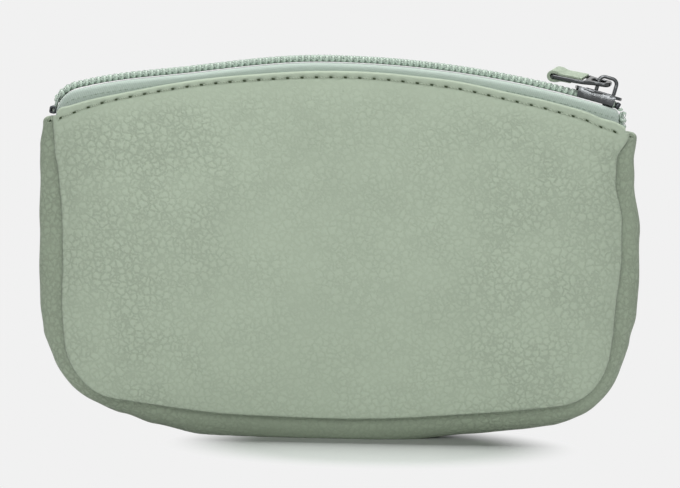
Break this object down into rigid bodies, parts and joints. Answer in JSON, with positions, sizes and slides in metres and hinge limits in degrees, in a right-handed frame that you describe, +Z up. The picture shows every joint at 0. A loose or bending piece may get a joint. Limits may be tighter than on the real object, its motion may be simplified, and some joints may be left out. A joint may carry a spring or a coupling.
{
  "type": "zip pouch",
  "caption": "Small standing zip pouch in grained leather, with a turned seam, a rounded gusset band and an arched coil zip whose slider carries a leather pull.",
  "frame": {"origin": "middle of the bounding box at floor level, under the middle of the gusset's foot", "axes": "+X to the right as the front is seen, along the zip; the front faces -Y; +Z up"},
  "size_m": [0.1194, 0.0248, 0.0761],
  "materials": {
    "panel_leather": "pebble grain, low sheen",
    "gusset_leather": "pebble grain, low sheen",
    "lining": "plain cloth",
    "zip_tape": "woven",
    "zip_coil": "satin",
    "nickel": "nickel plate",
    "dark_metal": "darkened",
    "thread": "twisted thread"
  },
  "bodies": {
    "pouch": {"back_panel": "panel_leather", "gusset": "gusset_leather", "back_lining": "lining", "gusset_lining": "lining", "back_zip_tape": "zip_tape", "back_coil": "zip_coil", "end_stop": "dark_metal", "front_top_stop": "dark_metal", "back_top_stop": "dark_metal", "back_top_stitching": "thread", "front_seam_thread": "thread", "back_seam_thread": "thread"},
    "front_side": {"front_panel": "panel_leather", "front_lining": "lining", "front_zip_tape": "zip_tape", "front_coil": "zip_coil", "front_top_stitching": "thread"},
    "slider": {"slider_body": "nickel", "slider_crown": "nickel"},
    "pull": {"pull_frame": "nickel", "pull_leather": "panel_leather"}
  },
  "joints": [
    {"name": "slider_travel", "type": "hinge", "parent": "pouch", "child": "slider", "pos_m": [-0.0027, 0, -0.1306], "axis": [0, -1, 0], "range_deg": [0, 25.8], "deforming": ["back_coil"]},
    {"name": "mouth_opening", "type": "hinge", "parent": "pouch", "child": "front_side", "pos_m": [0, -0.00815, 0.00415], "axis": [1, 0, 0], "range_deg": [0, 12], "deforming": ["front_zip_tape", "front_coil"]},
    {"name": "pull_swing", "type": "hinge", "parent": "slider", "child": "pull", "pos_m": [0.05242, 0, 0.07155], "axis": [0, 1, 0], "range_deg": [0, 150]}
  ],
  "couplings": [
    {"joint": "mouth_opening", "follows": "slider_travel", "ratio": 0.465}
  ]
}
